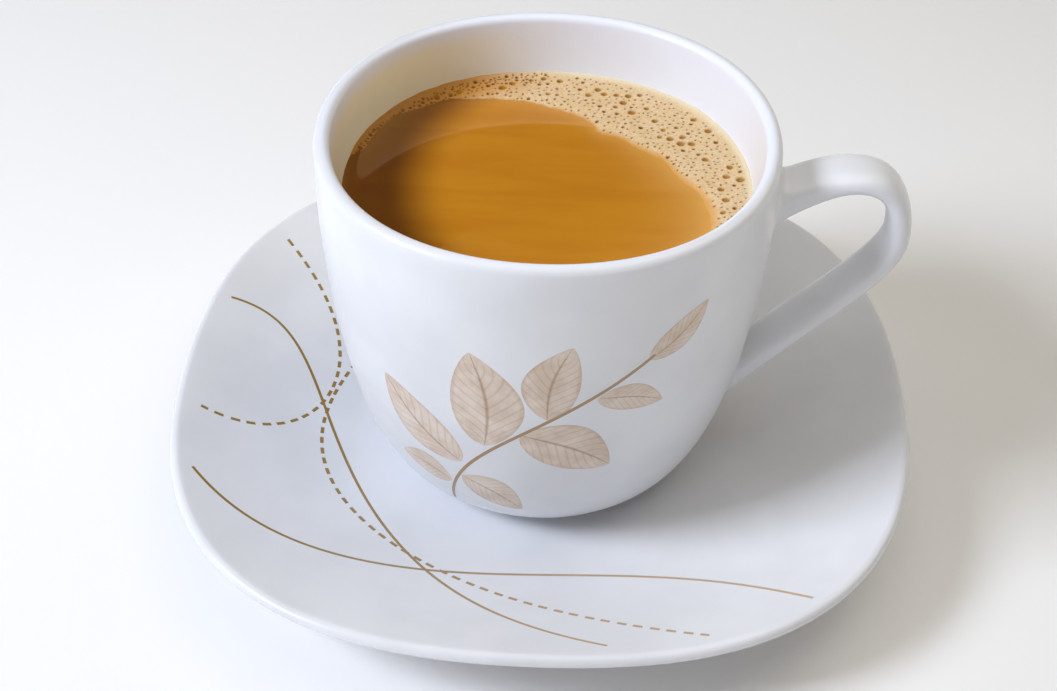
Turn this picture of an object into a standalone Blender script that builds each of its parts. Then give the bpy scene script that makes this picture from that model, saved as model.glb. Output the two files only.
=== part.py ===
# A cup of milk tea on its saucer, in metres with +Z up.
# The origin is the middle of the saucer's foot, on the table, and the cup's handle points along +X.
# Cup and saucer are both rounded squares in plan, and their sides are square to the axes.

import math
import random

import bmesh
import bpy
from mathutils import Vector
from mathutils.geometry import interpolate_bezier

MM = 0.001

# Faces round every turned piece: the tea follows the cup's wall facet by facet
TURN_STEPS = 64
TOUCH_GAP = 0.3 * MM            # kept between pieces that rest on or in each other

# Saucer, heights from the table
SAUCER_HALF_WIDTH = 74.5 * MM   # at the middle of a side
SAUCER_CORNER_REACH = 0.075     # share by which the corners lie farther out than the sides
SAUCER_HEIGHT = 18.5 * MM
SAUCER_LIP_RADIUS = 1.2 * MM
SAUCER_LIP_TURNS = (120, -55)   # degrees round the lip from where the face meets it to where the back does
SAUCER_FACE_PULL = ((47 * MM, 3.9 * MM), (62.3 * MM, 12.3 * MM))        # radius and height
SAUCER_BACK_PULL = ((67.4 * MM, 11.7 * MM), (54.5 * MM, 3.8 * MM))
SAUCER_FOOT_RADIUS = 42 * MM
SAUCER_FOOT_WIDTH = 4 * MM
SAUCER_FOOT_HEIGHT = 1.8 * MM
WELL_RADIUS = 31 * MM           # the flat middle that the cup stands on
WELL_TOP = 3.9 * MM
WELL_UNDERSIDE = 1 * MM
FOOT_LEAN = 0.8 * MM            # how far the sides of the foot rings lean

# Cup, heights from the bottom of its foot
CUP_HALF_WIDTH = 42.6 * MM      # at the rim, in the middle of a side
CUP_CORNER_REACH = 0.02
CUP_HEIGHT = 74.6 * MM
CUP_LIP_RADIUS = 1.5 * MM
CUP_SIDE_PULL = ((43.8 * MM, 47.7 * MM), (39.2 * MM, 2.2 * MM))         # radius and height
CUP_WALL_PULL = ((38.5 * MM, 6 * MM), (34.6 * MM, 43 * MM))             # the same, inside
CUP_FOOT_RADIUS = 26.9 * MM
CUP_FOOT_WIDTH = 3.5 * MM
CUP_FOOT_HEIGHT = 1.2 * MM
CUP_FOOT_TAPER = 0.5 * MM
CUP_BASE_UNDERSIDE = 1.6 * MM
CUP_FLOOR = 6 * MM
CUP_FLOOR_RADIUS = 20 * MM      # flat inside, before it turns up into the wall

# Drink, heights from the bottom of the cup's foot
TEA_LEVEL = 61.6 * MM
FROTH_THICKNESS = 0.7 * MM
FROTH_WIDTH = 17.7 * MM         # at its broadest
FROTH_MIDDLE = math.radians(48)     # where it is broadest, turning from the handle to the back
FROTH_SPREAD = math.radians(67)     # how slowly it narrows to either side
FROTH_REACH = math.radians(122)     # where it has run out
FROTH_THINNEST = 0.6 * MM
FROTH_RIPPLES = ((0.5 * MM, 7, 0.6), (0.35 * MM, 13, 0))        # size, waves in a turn, start
FROTH_STEPS = 64
BUBBLE_COUNT = 64
BUBBLE_RADII = (0.35 * MM, 0.95 * MM)
BUBBLE_SPREAD = 0.8             # share of the froth's length they lie in
BUBBLE_SMALLNESS = 2.2          # the higher, the more of them are small
BUBBLE_EDGE_GAP = 0.4 * MM
BUBBLE_GAP = 0.25 * MM
BUBBLE_DEEPEST = 0.45 * MM
BUBBLE_SEED = 11

# Handle, a strap in the X-Z plane, drawn from above by its two edges: distance from the cup's axis and
# height above the cup's foot of each curve's ends and of the two corners that pull it
HANDLE_OUTSIDE = (
    ((40.6 * MM, 63.8 * MM), (45.5 * MM, 66 * MM), (50.5 * MM, 68.8 * MM), (57.5 * MM, 68.8 * MM)),
    ((57.5 * MM, 68.8 * MM), (64.3 * MM, 68.8 * MM), (69 * MM, 64 * MM), (69 * MM, 54 * MM)),
    ((69 * MM, 54 * MM), (69 * MM, 43.5 * MM), (47.5 * MM, 28.5 * MM), (34 * MM, 8.4 * MM)),
)
HANDLE_INSIDE = (
    ((40.6 * MM, 55 * MM), (45 * MM, 57.5 * MM), (52 * MM, 64.3 * MM), (57.5 * MM, 64.3 * MM)),
    ((57.5 * MM, 64.3 * MM), (62 * MM, 64.3 * MM), (64.4 * MM, 61 * MM), (64.4 * MM, 54 * MM)),
    ((64.4 * MM, 54 * MM), (64.4 * MM, 47 * MM), (48 * MM, 33.5 * MM), (36 * MM, 20.5 * MM)),
)
HANDLE_STATIONS = (9, 9, 15)    # sections along each curve
HANDLE_HALF_WIDTHS = (5.5 * MM, 5.1 * MM, 5.9 * MM)         # at the root, the bend and the end
HANDLE_FLARE = 1.2 * MM         # how much broader it is where it meets the wall
HANDLE_FLARE_LENGTH = 4 * MM
HANDLE_SIDES = 16
HANDLE_ROUNDNESS = 0.8          # 1 is an ellipse, less is squarer


def new_collection(name):
    collection = bpy.data.collections.new(name)
    bpy.context.scene.collection.children.link(collection)
    return collection


def new_material(name, color, roughness):
    material = bpy.data.materials.new(name)
    material.use_nodes = True
    shader = material.node_tree.nodes["Principled BSDF"]
    shader.inputs["Base Color"].default_value = (*color, 1)
    shader.inputs["Roughness"].default_value = roughness
    shader.inputs["Metallic"].default_value = 0
    return material


def bezier(start, leave, arrive, end, count):
    return [tuple(point.xy) for point in interpolate_bezier(
        *(Vector((*corner, 0)) for corner in (start, leave, arrive, end)), count)]


def arc(center, radius, first_angle, last_angle, count):
    points = []
    for step in range(count):
        angle = math.radians(first_angle + (last_angle - first_angle) * step / (count - 1))
        points.append((center[0] + radius * math.cos(angle), center[1] + radius * math.sin(angle)))
    return points


def smooth_share(value):
    value = min(max(value, 0), 1)
    return value * value * (3 - 2 * value)


def cup_corner_reach(point):
    # The cup is round at its foot and squares off upwards
    return CUP_CORNER_REACH * smooth_share(point[2] / CUP_HEIGHT)


def saucer_corner_reach(point):
    # The saucer is round at its foot and squares off outwards
    radius = math.hypot(point[0], point[1])
    return SAUCER_CORNER_REACH * smooth_share((radius - SAUCER_FOOT_RADIUS) / (SAUCER_HALF_WIDTH - SAUCER_FOOT_RADIUS))


def rounded_square(x, y, reach):
    # Moves a point of a round plan out towards the nearest corner of a rounded square
    stretch = 1 + reach * (1 - math.cos(4 * math.atan2(y, x))) / 2
    return x * stretch, y * stretch


def mesh_of(modified):
    depsgraph = bpy.context.evaluated_depsgraph_get()
    return bpy.data.meshes.new_from_object(modified.evaluated_get(depsgraph), depsgraph=depsgraph)


def remove_object(unwanted):
    data = unwanted.data
    bpy.data.objects.remove(unwanted)
    if isinstance(data, bpy.types.Mesh):
        bpy.data.meshes.remove(data)
    else:
        bpy.data.curves.remove(data)


def new_object(name, mesh, collection, material=None):
    created = bpy.data.objects.new(name, mesh)
    collection.objects.link(created)
    if material:
        mesh.materials.clear()
        mesh.materials.append(material)
    return created


def shade_smooth(piece, sharp_angle):
    piece.data.shade_smooth()
    piece.data.set_sharp_from_angle(angle=math.radians(sharp_angle))


def turned(name, profile, corner_reach, collection, material):
    # The profile starts on the axis at the top, so its outer side runs downwards
    outline = bpy.data.meshes.new(name + "_profile")
    outline.from_pydata([(radius, 0, height) for radius, height in profile],
                        [(i, i + 1) for i in range(len(profile) - 1)], [])
    lathe = new_object(name + "_profile", outline, collection)
    screw = lathe.modifiers.new("turn", "SCREW")
    screw.steps = TURN_STEPS
    screw.render_steps = TURN_STEPS
    screw.use_merge_vertices = True
    screw.merge_threshold = 0.01 * MM
    mesh = mesh_of(lathe)
    remove_object(lathe)
    for vertex in mesh.vertices:
        x, y, z = vertex.co
        vertex.co = (*rounded_square(x, y, corner_reach(vertex.co)), z)
    piece = new_object(name, mesh, collection, material)
    shade_smooth(piece, 40)
    return piece


def boolean(piece, operation, others):
    # One Boolean of a piece with everything in a collection, applied
    modifier = piece.modifiers.new(operation.lower(), "BOOLEAN")
    modifier.operation = operation
    modifier.operand_type = "COLLECTION"
    modifier.collection = others
    joined = mesh_of(piece)
    piece.modifiers.remove(modifier)
    old = piece.data
    piece.data = joined
    bpy.data.meshes.remove(old)
    for used in list(others.objects):
        remove_object(used)


def saucer_profile():
    lip = (SAUCER_HALF_WIDTH - SAUCER_LIP_RADIUS, SAUCER_HEIGHT - SAUCER_LIP_RADIUS)
    over_lip = arc(lip, SAUCER_LIP_RADIUS, *SAUCER_LIP_TURNS, 5)
    face = bezier((WELL_RADIUS, WELL_TOP), *SAUCER_FACE_PULL, over_lip[0], 9)
    back = bezier(over_lip[-1], *SAUCER_BACK_PULL, (SAUCER_FOOT_RADIUS + FOOT_LEAN, SAUCER_FOOT_HEIGHT), 7)
    foot_inner = SAUCER_FOOT_RADIUS - SAUCER_FOOT_WIDTH
    return [(0, WELL_TOP), *face[:-1], *over_lip, *back[1:],
            (SAUCER_FOOT_RADIUS, 0), (foot_inner, 0),
            (foot_inner - FOOT_LEAN, WELL_UNDERSIDE), (0, WELL_UNDERSIDE)]


def cup_inner_wall():
    lip_inside = (CUP_HALF_WIDTH - 2 * CUP_LIP_RADIUS, CUP_HEIGHT - CUP_LIP_RADIUS)
    return bezier((CUP_FLOOR_RADIUS, CUP_FLOOR), *CUP_WALL_PULL, lip_inside, 12)


def cup_profile():
    lip = (CUP_HALF_WIDTH - CUP_LIP_RADIUS, CUP_HEIGHT - CUP_LIP_RADIUS)
    over_lip = arc(lip, CUP_LIP_RADIUS, 180, 0, 7)
    side = bezier(over_lip[-1], *CUP_SIDE_PULL, (CUP_FOOT_RADIUS, CUP_FOOT_HEIGHT), 15)
    foot_outer = CUP_FOOT_RADIUS - CUP_FOOT_TAPER
    foot_inner = foot_outer - CUP_FOOT_WIDTH
    return [(0, CUP_FLOOR), *cup_inner_wall()[:-1], *over_lip, *side[1:],
            (foot_outer, 0), (foot_inner, 0),
            (foot_inner - FOOT_LEAN, CUP_BASE_UNDERSIDE), (0, CUP_BASE_UNDERSIDE)]


def wall_radius(height):
    # Half the free width inside the cup at a height, at the middle of a side
    for low, high in zip(cup_inner_wall(), cup_inner_wall()[1:]):
        if low[1] <= height <= high[1] and high[1] > low[1]:
            return low[0] + (high[0] - low[0]) * (height - low[1]) / (high[1] - low[1])


def tea_profile():
    wetted = [(radius - TOUCH_GAP, height + TOUCH_GAP)
              for radius, height in reversed(cup_inner_wall()) if height < TEA_LEVEL - MM]
    edge = (wall_radius(TEA_LEVEL) - TOUCH_GAP, TEA_LEVEL)
    return [(0, TEA_LEVEL), edge, *wetted, (0, CUP_FLOOR + TOUCH_GAP)]


def handle_edge(curves):
    points = []
    for corners, stations in zip(curves, HANDLE_STATIONS):
        points = points[:-1] + bezier(*corners, stations)
    return [Vector(point) for point in points]


def blend(values, share):
    # Root value at 0, bend value at one half, end value at 1
    root, bend, end = values
    if share < 0.5:
        return root + (bend - root) * smooth_share(share * 2)
    return bend + (end - bend) * smooth_share(share * 2 - 1)


def handle_section(outside, inside, half_width):
    # A rounded strap section between the handle's two edges
    middle = (outside + inside) / 2
    half_thickness = (outside - inside) / 2
    ring = []
    for side in range(HANDLE_SIDES):
        angle = 2 * math.pi * side / HANDLE_SIDES
        across = math.copysign(abs(math.cos(angle)) ** HANDLE_ROUNDNESS, math.cos(angle)) * half_width
        out = math.copysign(abs(math.sin(angle)) ** HANDLE_ROUNDNESS, math.sin(angle))
        point = middle + half_thickness * out
        ring.append((point.x, across, point.y))
    return ring


def handle_solid(collection):
    # A loft of unlike sections, whose ends lie inside the cup's wall
    outside = handle_edge(HANDLE_OUTSIDE)
    inside = handle_edge(HANDLE_INSIDE)
    lengths = [0]
    for before, after in zip(outside, outside[1:]):
        lengths.append(lengths[-1] + (after - before).length)
    sections = bmesh.new()
    rings = []
    for outer, inner, length in zip(outside, inside, lengths):
        to_wall = min(length, lengths[-1] - length)
        flare = HANDLE_FLARE * math.exp(-(to_wall / HANDLE_FLARE_LENGTH) ** 2)
        half_width = blend(HANDLE_HALF_WIDTHS, length / lengths[-1]) + flare
        rings.append([sections.verts.new(point) for point in handle_section(outer, inner, half_width)])
    for ring, following in zip(rings, rings[1:]):
        for side in range(HANDLE_SIDES):
            beside = (side + 1) % HANDLE_SIDES
            sections.faces.new((ring[side], ring[beside], following[beside], following[side]))
    sections.faces.new(reversed(rings[0]))
    sections.faces.new(rings[-1])
    bmesh.ops.recalc_face_normals(sections, faces=sections.faces)
    mesh = bpy.data.meshes.new("handle")
    sections.to_mesh(mesh)
    sections.free()
    return new_object("handle", mesh, collection)


def froth_width(angle):
    # The froth hugs the wall, broad at the back right and thin at both ends, with an uneven edge
    ripple = sum(size * math.sin(waves * angle + start) for size, waves, start in FROTH_RIPPLES)
    off_middle = (angle - FROTH_MIDDLE) / FROTH_SPREAD
    return (FROTH_WIDTH + ripple) * math.exp(-off_middle * off_middle)


def froth_edge(angle, from_wall):
    radius = wall_radius(TEA_LEVEL) - TOUCH_GAP - from_wall
    x, y = radius * math.cos(angle), radius * math.sin(angle)
    return rounded_square(x, y, cup_corner_reach((x, y, TEA_LEVEL)))


def froth_solid(collection, cutters, material):
    angles = [FROTH_MIDDLE - FROTH_REACH + 2 * FROTH_REACH * i / FROTH_STEPS for i in range(FROTH_STEPS + 1)]
    outer = [froth_edge(angle, 0) for angle in angles]
    inner = [froth_edge(angle, max(froth_width(angle), FROTH_THINNEST)) for angle in angles[::2]]
    outline = bpy.data.curves.new("froth_outline", "CURVE")
    outline.dimensions = "2D"
    outline.fill_mode = "BOTH"
    outline.extrude = FROTH_THICKNESS / 2
    spline = outline.splines.new("POLY")
    spline.points.add(len(outer) + len(inner) - 1)
    for point, (x, y) in zip(spline.points, outer + inner[::-1]):
        point.co = (x, y, 0, 1)
    spline.use_cyclic_u = True
    flat = new_object("froth_outline", outline, collection)
    flat.location.z = TEA_LEVEL + TOUCH_GAP + FROTH_THICKNESS / 2
    bpy.context.view_layer.update()
    mesh = mesh_of(flat)
    mesh.transform(flat.matrix_world)
    remove_object(flat)
    welded = bmesh.new()
    welded.from_mesh(mesh)
    bmesh.ops.remove_doubles(welded, verts=welded.verts, dist=0.01 * MM)
    bmesh.ops.recalc_face_normals(welded, faces=welded.faces)
    welded.to_mesh(mesh)
    welded.free()
    froth = new_object("froth", mesh, collection, material)
    for x, y, radius in bubbles():
        bubble_cutter(x, y, radius, cutters)
    boolean(froth, "DIFFERENCE", cutters)
    return froth


def bubbles():
    # Open bubbles, scattered by a seeded rule: each keeps clear of the froth's edge and of the others
    draw = random.Random(BUBBLE_SEED)
    placed = []
    small, large = BUBBLE_RADII
    while len(placed) < BUBBLE_COUNT:
        angle = FROTH_MIDDLE + draw.uniform(-BUBBLE_SPREAD, BUBBLE_SPREAD) * FROTH_REACH
        radius = small + (large - small) * draw.random() ** BUBBLE_SMALLNESS
        margin = radius + BUBBLE_EDGE_GAP
        room = froth_width(angle) - 2 * margin
        from_wall = margin + room * draw.random()
        if room <= 0 or draw.random() * FROTH_WIDTH > froth_width(angle):
            continue
        x, y = froth_edge(angle, from_wall)
        if all(math.hypot(x - other[0], y - other[1]) > radius + other[2] + BUBBLE_GAP for other in placed):
            placed.append((x, y, radius))
    return placed


def bubble_cutter(x, y, radius, collection):
    # A ball whose lower cap presses a round dimple, as wide as the bubble, into the froth's top
    top = TEA_LEVEL + TOUCH_GAP + FROTH_THICKNESS
    depth = min(0.6 * radius, BUBBLE_DEEPEST)
    ball_radius = (radius * radius + depth * depth) / (2 * depth)
    ball = bmesh.new()
    bmesh.ops.create_uvsphere(ball, u_segments=7, v_segments=6, radius=ball_radius)
    mesh = bpy.data.meshes.new("bubble")
    ball.to_mesh(mesh)
    ball.free()
    cutter = new_object("bubble", mesh, collection)
    cutter.location = (x, y, top + ball_radius - depth)
    cutter.hide_render = True
    cutter.display_type = "WIRE"


def main():
    for leftover in list(bpy.data.objects):
        bpy.data.objects.remove(leftover)
    parts = new_collection("cup_of_milk_tea")
    cutters = new_collection("cutters")
    glaze = new_material("white_glaze", (0.84, 0.85, 0.88), 0.12)
    milk_tea = new_material("milk_tea", (0.52, 0.22, 0.025), 0.1)
    pale_froth = new_material("pale_froth", (0.74, 0.50, 0.22), 0.5)

    turned("saucer", saucer_profile(), saucer_corner_reach, parts, glaze)

    cup = turned("cup", cup_profile(), cup_corner_reach, parts, glaze)
    handle_solid(cutters)
    boolean(cup, "UNION", cutters)
    shade_smooth(cup, 40)
    tea = turned("tea", tea_profile(), cup_corner_reach, parts, milk_tea)
    froth = froth_solid(parts, cutters, pale_froth)

    stand = bpy.data.objects.new("cup_stand", None)
    parts.objects.link(stand)
    stand.location.z = WELL_TOP + TOUCH_GAP
    for piece in (cup, tea, froth):
        piece.parent = stand


main()
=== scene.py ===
import math
import random

import bmesh
import bpy
import numpy as np
from mathutils import Matrix, Vector, noise
from mathutils.geometry import interpolate_bezier


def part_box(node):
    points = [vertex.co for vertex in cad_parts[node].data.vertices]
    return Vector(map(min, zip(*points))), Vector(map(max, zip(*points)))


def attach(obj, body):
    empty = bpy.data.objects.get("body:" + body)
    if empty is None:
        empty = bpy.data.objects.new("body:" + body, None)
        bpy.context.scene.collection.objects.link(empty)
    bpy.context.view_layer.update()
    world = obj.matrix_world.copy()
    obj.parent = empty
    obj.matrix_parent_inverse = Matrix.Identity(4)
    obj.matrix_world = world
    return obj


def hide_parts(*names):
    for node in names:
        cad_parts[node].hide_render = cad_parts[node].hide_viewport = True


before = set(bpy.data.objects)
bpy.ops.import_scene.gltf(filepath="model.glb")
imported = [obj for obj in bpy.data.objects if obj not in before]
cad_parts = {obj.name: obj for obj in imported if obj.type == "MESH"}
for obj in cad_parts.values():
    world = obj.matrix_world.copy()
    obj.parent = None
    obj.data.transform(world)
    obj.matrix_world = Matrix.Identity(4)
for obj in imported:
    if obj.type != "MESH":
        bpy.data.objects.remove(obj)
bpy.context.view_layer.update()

mm = 0.001
cupLow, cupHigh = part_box("cup")
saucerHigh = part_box("saucer")[1]
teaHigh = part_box("tea")[1]
print("frame loaded")


# Small tools
def deselectAll():
    if bpy.context.object and bpy.context.object.mode != "OBJECT":
        bpy.ops.object.mode_set(mode="OBJECT")
    bpy.ops.object.select_all(action="DESELECT")


def makeActive(piece):
    deselectAll()
    piece.select_set(True)
    bpy.context.view_layer.objects.active = piece


def applyModifier(piece, kind, **settings):
    makeActive(piece)
    modifier = piece.modifiers.new(kind.lower(), kind)
    for setting, value in settings.items():
        setattr(modifier, setting, value)
    bpy.ops.object.modifier_apply(modifier=modifier.name)


def joinPieces(name, pieces):
    makeActive(pieces[0])
    for piece in pieces:
        piece.select_set(True)
    if len(pieces) > 1:
        bpy.ops.object.join()
    pieces[0].name = name
    pieces[0].data.name = name
    return pieces[0]


def finishPiece(piece, material, angle):
    # Rides on the one body, smooth but for sharper edges, with its place in its mesh
    makeActive(piece)
    bpy.ops.object.transform_apply(location=True, rotation=True, scale=True)
    bpy.ops.object.shade_smooth_by_angle(angle=math.radians(angle))
    piece.data.materials.clear()
    piece.data.materials.append(material)
    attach(piece, "root")


def setFloats(piece, name, values):
    # A number for each vertex, for its material to read
    piece.data.attributes.new(name, "FLOAT", "POINT").data.foreach_set("value", values)


def smoothShare(value):
    value = min(max(value, 0), 1)
    return value * value * (3 - 2 * value)


def fadeOut(off, reach, steepness):
    # 1 in the middle and 0 from reach on; the steeper, the longer it stays 1
    return smoothShare(steepness * (1 - abs(off) / reach))


def bezierPoints(corners, count):
    start, leave, arrive, end = (Vector((*corner, 0)) for corner in corners)
    return [tuple(point.xy) for point in interpolate_bezier(start, leave, arrive, end, count)]


def arcPoints(center, radius, first, last, count):
    turns = (math.radians(first + (last - first) * step / (count - 1)) for step in range(count))
    return [(center[0] + radius * math.cos(turn), center[1] + radius * math.sin(turn)) for turn in turns]


def readAlong(points, wanted):
    # Radius of a profile at the wanted height, or at its nearer end
    for low, high in zip(points, points[1:]):
        if min(low[1], high[1]) <= wanted <= max(low[1], high[1]) and low[1] != high[1]:
            return low[0] + (high[0] - low[0]) * (wanted - low[1]) / (high[1] - low[1])
    return points[-1][0] if abs(points[-1][1] - wanted) < abs(points[0][1] - wanted) else points[0][0]


def spreadEven(line, count):
    # The same line by points at equal steps
    lengths = [0]
    for before, after in zip(line, line[1:]):
        lengths.append(lengths[-1] + (after - before).length)
    spread, index = [], 0
    for step in range(count):
        wanted = lengths[-1] * step / (count - 1)
        while index < len(line) - 2 and lengths[index + 1] < wanted:
            index += 1
        share = (wanted - lengths[index]) / (lengths[index + 1] - lengths[index])
        spread.append(line[index].lerp(line[index + 1], min(share, 1)))
    return spread


def squareOff(x, y, reach):
    # A round plan becomes a rounded square: its corners move out, the middles of its sides stay
    stretch = 1 + reach * (1 - math.cos(4 * math.atan2(y, x))) / 2
    return x * stretch, y * stretch


# What the turned pieces share, sizes in mm
turning = {
    "sides": 48,
    "levels": 2,
    "hub": 1,             # radius of the ring nearest to the axis
    "lipSteps": 9,
    "lipSwell": 1.03,     # makes up for what smoothing takes off a lip
    "edgeRound": 0.35,
    "footSlope": 0.8,     # from a foot ring's inner edge in to where the underside starts
    "footHollow": 3,
}


def turnShape(name, profile, reachAt):
    # As on a potter's wheel: a ring is drawn out along the profile, in mm, and closed on the axis
    sides, levels = turning["sides"], turning["levels"]
    widen = 3 / (2 + math.cos(2 * math.pi / sides))         # smoothing draws a ring in by as much
    radius, height = (value * mm for value in profile[0])
    deselectAll()
    bpy.ops.mesh.primitive_circle_add(vertices=sides, radius=radius * widen, location=(0, 0, height))
    piece = bpy.context.object
    bpy.ops.object.mode_set(mode="EDIT")
    bpy.ops.mesh.select_all(action="SELECT")
    for nextRadius, nextHeight in ((point[0] * mm, point[1] * mm) for point in profile[1:]):
        bpy.ops.mesh.extrude_region_move(TRANSFORM_OT_translate={"value": (0, 0, nextHeight - height)})
        share = nextRadius / radius
        bpy.ops.transform.resize(value=(share, share, 1), center_override=(0, 0, nextHeight))
        radius, height = nextRadius, nextHeight
    bpy.ops.mesh.merge(type="CENTER")
    bpy.ops.mesh.select_non_manifold(extend=False)          # the ring it began with
    bpy.ops.mesh.extrude_region_move()
    bpy.ops.mesh.merge(type="CENTER")
    bpy.ops.mesh.select_all(action="SELECT")
    bpy.ops.mesh.normals_make_consistent(inside=False)
    bpy.ops.object.mode_set(mode="OBJECT")
    bpy.ops.object.transform_apply(location=True, rotation=True, scale=True)
    for vertex in piece.data.vertices:
        x, y, z = vertex.co
        vertex.co = (*squareOff(x, y, reachAt(vertex.co / mm)), z)
    applyModifier(piece, "SUBSURF", levels=levels, render_levels=levels)
    piece.name = name
    piece.data.name = name
    return piece


def footRing(ware, outer):
    # From a foot ring's outer edge over its flat bottom, and in along the underside
    inner, soft, underside = outer - ware["footWidth"], turning["edgeRound"], ware["underside"]
    return [(outer, soft), (outer - soft, 0), (inner + soft, 0), (inner, soft),
            (inner - turning["footSlope"], underside), (inner - turning["footHollow"], underside),
            (ware["undersideRing"], underside), (turning["hub"], underside)]


# Small tools for materials
colorMix = {"data_type": "RGBA"}
multiplied = {**colorMix, "blend_type": "MULTIPLY"}
softStep = {"interpolation_type": "SMOOTHSTEP"}


def toLinear(hexColor):
    # An sRGB hex colour as Blender's linear one
    channels = [int(hexColor[i:i + 2], 16) / 255 for i in (1, 3, 5)]
    return (*(c / 12.92 if c <= 0.04045 else ((c + 0.055) / 1.055) ** 2.4 for c in channels), 1)


def plugIn(tree, node, **inputs):
    # Each input, by its name or as i and its number, is a value, a hex colour, a node or its output
    for name, value in inputs.items():
        socket = node.inputs[int(name[1:]) if name[1:].isdigit() else name.replace("_", " ")]
        if isinstance(value, str):
            value = toLinear(value)
        if isinstance(value, bpy.types.Node):
            value = next(output for output in value.outputs if output.enabled)
        if isinstance(value, bpy.types.NodeSocket):
            tree.links.new(value, socket)
        else:
            socket.default_value = value
    return node


def addNode(tree, kind, settings=None, **inputs):
    node = tree.nodes.new("ShaderNode" + kind)
    for setting, value in (settings or {}).items():
        setattr(node, setting, value)
    return plugIn(tree, node, **inputs)


def newMaterial(name, **constants):
    material = bpy.data.materials.new(name)
    material.use_nodes = True
    tree = material.node_tree
    return material, tree, plugIn(tree, tree.nodes["Principled BSDF"], **constants)


# Porcelain glaze: fired clear glaze over white clay, hard and glossy, with a faint waviness that
# softens reflections and barely visible pale and dark places in the body under it
glaze = {
    "white": "#EAECF1",
    "shaded": "#E3E5EA",
    "inside": "#EEF3FE",    # on the inner wall: a bluer white, painted cool light against the warm light the tea bounces there
    "paintedBounce": "#F7F1D4",     # painted warm light, bounced from the tea onto the shaded inner wall
    "cloudSize": 22,        # mm
    "waveSize": 9,
    "waveDepth": 0.02,
    "roughness": 0.26,
}


def glazeMaterial(name, filled=False):
    material, tree, shader = newMaterial(name, IOR=1.5, Roughness=glaze["roughness"])
    place = addNode(tree, "TexCoord").outputs["Object"]
    clouds = addNode(tree, "TexNoise", Vector=place, Scale=1 / (glaze["cloudSize"] * mm), Detail=3.0)
    share = addNode(tree, "MapRange", softStep, Value=clouds, From_Min=0.35, From_Max=0.65)
    body = addNode(tree, "Mix", colorMix, i0=share, i6=glaze["white"], i7=glaze["shaded"])
    # On the cup's inner wall: a painted cool white, and painted warm bounce light from the tea away from
    # the handle
    if filled:
        for part in ("inside", "paintedBounce"):
            here = addNode(tree, "Attribute", {"attribute_name": part}).outputs["Fac"]
            body = addNode(tree, "Mix", colorMix, i0=here, i6=body, i7=glaze[part])
    waves = addNode(tree, "TexNoise", Vector=place, Scale=1 / (glaze["waveSize"] * mm), Detail=1.0)
    bump = addNode(tree, "Bump", Height=waves, Strength=0.25, Distance=glaze["waveDepth"] * mm)
    plugIn(tree, shader, Base_Color=body, Normal=bump)
    return material


cupGlaze = glazeMaterial("cupPorcelainGlaze", filled=True)
saucerGlaze = glazeMaterial("saucerPorcelainGlaze")

# Cup body, sizes in mm and heights from the bottom of its foot
cup = {
    "halfWidth": cupHigh.y / mm,
    "height": (cupHigh.z - cupLow.z) / mm,
    "cornerReach": 0.02,
    "lipRadius": 1.5,
    "sidePull": ((43.8, 47.7), (39.2, 2.2)),
    "footTop": (26.9, 1.2),
    "footTaper": 0.5,
    "footWidth": 3.5,
    "underside": 1.6,
    "undersideRing": 10,
    "floor": 6,
    "floorRing": 10,
    "floorRadius": 20,
    "wallPull": ((38.5, 6), (34.6, 43)),
    "insideFrom": 2,      # under the drink's level, from where the inner wall is bare
    "insideDepth": (0.5, 1.7),  # behind the outer side, where the inner wall starts and is whole
    "paintedBounceTurn": 165,     # where the painted bounce light lies most, in degrees from the handle towards the back
    "paintedBounceReach": 82,
    "paintedBounceTop": 0.8,      # under the rim
    "paintedBounceFade": 4,
}
cupBase = cupLow.z / mm


def cupReach(spot):
    return cup["cornerReach"] * smoothShare((spot.z - cupBase) / cup["height"])


def cupLip():
    return cup["halfWidth"] - cup["lipRadius"], cup["height"] - cup["lipRadius"]


def cupOuterSide(count=60):
    lip = cupLip()
    return bezierPoints(((lip[0] + cup["lipRadius"], lip[1]), *cup["sidePull"], cup["footTop"]), count)


def cupInnerWall(count=60):
    lip = cupLip()
    floorEdge = (cup["floorRadius"], cup["floor"])
    return bezierPoints((floorEdge, *cup["wallPull"], (lip[0] - cup["lipRadius"], lip[1])), count)


def cupProfile():
    points = [(turning["hub"], cup["floor"]), (cup["floorRing"], cup["floor"]), *cupInnerWall(14)[:-1]]
    points += arcPoints(cupLip(), cup["lipRadius"] * turning["lipSwell"], 180, 0, turning["lipSteps"])
    points += cupOuterSide(18)[1:]
    points += footRing(cup, cup["footTop"][0] - cup["footTaper"])
    return [(radius, height + cupBase) for radius, height in points]


def insideAt(spot):
    # On the inner wall above the drink
    if spot.z < teaHigh.z / mm - cup["insideFrom"]:
        return 0
    least, full = cup["insideDepth"]
    depth = readAlong(cupOuterSide(), spot.z - cupBase) - spot.xy.length
    return smoothShare((depth - least) / (full - least))


def paintedBounceAt(spot):
    # Painted warm light, bounced from the tea onto the shaded inner wall, mostly away from the handle
    off = math.degrees(math.atan2(-spot.y, -spot.x)) + 180 - cup["paintedBounceTurn"]
    belowTop = cupHigh.z / mm - cup["paintedBounceTop"] - spot.z
    return insideAt(spot) * fadeOut(off, cup["paintedBounceReach"], 1.5) * smoothShare(belowTop / cup["paintedBounceFade"])


cupBody = turnShape("cupBody", cupProfile(), cupReach)
# Masks on the inner wall: for the painted cool white and for the painted bounce light
for part, shareAt in (("inside", insideAt), ("paintedBounce", paintedBounceAt)):
    setFloats(cupBody, part, [shareAt(vertex.co / mm) for vertex in cupBody.data.vertices])
print("cup body turned")

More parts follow.
